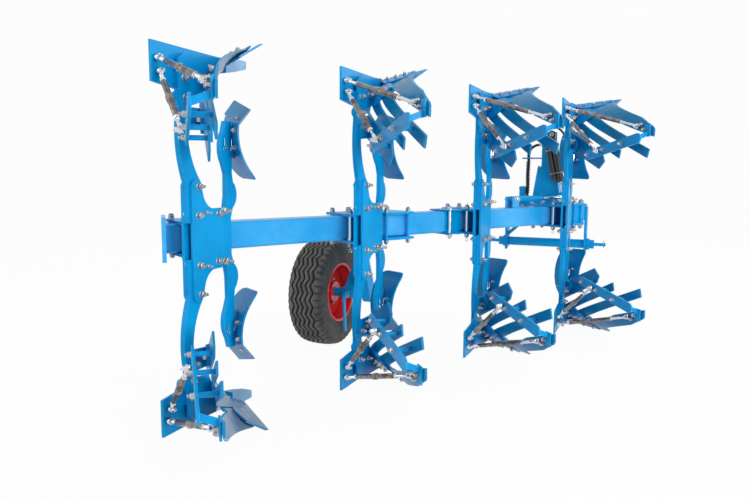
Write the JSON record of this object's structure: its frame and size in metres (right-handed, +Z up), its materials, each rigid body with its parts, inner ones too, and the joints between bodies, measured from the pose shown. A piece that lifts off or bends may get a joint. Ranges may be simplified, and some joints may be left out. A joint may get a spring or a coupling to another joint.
{
  "type": "moldboard plough",
  "caption": "Mounted reversible mouldboard plough: slanted beam with paired slatted bodies and skimmers, depth wheel, and a turnover headstock with hitch pins.",
  "frame": {"origin": "centre of the bounding box in plan, on the ground", "axes": "+X along the travel, towards the tractor; +Y to the left; +Z up"},
  "size_m": [4.216, 2.2552, 1.741],
  "materials": {
    "frame_blue": "gloss enamel",
    "zinc_steel": "zinc plated",
    "share_steel": "hardened, new, dull",
    "slat_steel": "gloss enamel",
    "black_paint": "satin black",
    "chrome_rod": "polished",
    "rim_red": "gloss enamel",
    "tyre": "matt rubber",
    "hose_rubber": "satin"
  },
  "bodies": {
    "headstock": {"bearing_housing": "frame_blue", "cross_shaft": "frame_blue", "mast": "frame_blue", "supply_hoses": "hose_rubber"},
    "plough_frame": {"bracket_1": "frame_blue", "bracket_2": "frame_blue", "bracket_3": "frame_blue", "bracket_4": "frame_blue", "frogs_1": "frame_blue", "frogs_2": "frame_blue", "frogs_3": "frame_blue", "frogs_4": "frame_blue", "landsides_1": "frame_blue", "landsides_2": "frame_blue", "landsides_3": "frame_blue", "landsides_4": "frame_blue", "legs_1": "frame_blue", "legs_2": "frame_blue", "legs_3": "frame_blue", "legs_4": "frame_blue", "main_beam": "frame_blue", "mouldboards_1": "slat_steel", "mouldboards_2": "slat_steel", "mouldboards_3": "slat_steel", "mouldboards_4": "slat_steel", "shares_1": "share_steel", "shares_2": "share_steel", "shares_3": "share_steel", "shares_4": "share_steel", "skimmer_arms": "frame_blue", "skimmers_1": "slat_steel", "skimmers_2": "slat_steel", "skimmers_3": "slat_steel", "skimmers_4": "slat_steel", "slat_braces": "frame_blue", "stays": "zinc_steel", "turnover_carrier": "frame_blue", "turnover_shaft": "frame_blue", "wheel_bracket": "frame_blue"},
    "cylinder_barrel": {"cylinder_barrel": "black_paint", "cylinder_hose": "hose_rubber"},
    "cylinder_rod": {"cylinder_rod": "chrome_rod"},
    "wheel_arm": {"wheel_arm": "frame_blue"},
    "wheel": {"wheel_rim": "rim_red", "wheel_tyre": "tyre"}
  },
  "joints": [
    {"name": "turnover", "type": "hinge", "parent": "headstock", "child": "plough_frame", "pos_m": [1.85801, -0.27681, 0.8705], "axis": [1, 0, 0], "range_deg": [0, 180]},
    {"name": "cylinder_swing", "type": "hinge", "parent": "headstock", "child": "cylinder_barrel", "pos_m": [1.85801, -0.32081, 1.53], "axis": [1, 0, 0], "range_deg": [0, 26.24]},
    {"name": "cylinder_stroke", "type": "slide", "parent": "cylinder_barrel", "child": "cylinder_rod", "axis": [0, -0.2092, -0.9779], "range_m": [0, 0.333]},
    {"name": "wheel_arm_swing", "type": "hinge", "parent": "plough_frame", "child": "wheel_arm", "pos_m": [-0.13199, 0.61519, 0.8705], "axis": [0, -1, 0], "range_deg": [0, 130.7]},
    {"name": "wheel_spin", "type": "hinge", "parent": "wheel_arm", "child": "wheel", "pos_m": [0.09801, 0.93519, 0.369], "axis": [0, 1, 0], "continuous": true}
  ],
  "couplings": [
    {"joint": "cylinder_swing", "follows": "turnover", "ratio": 0.1455}
  ]
}
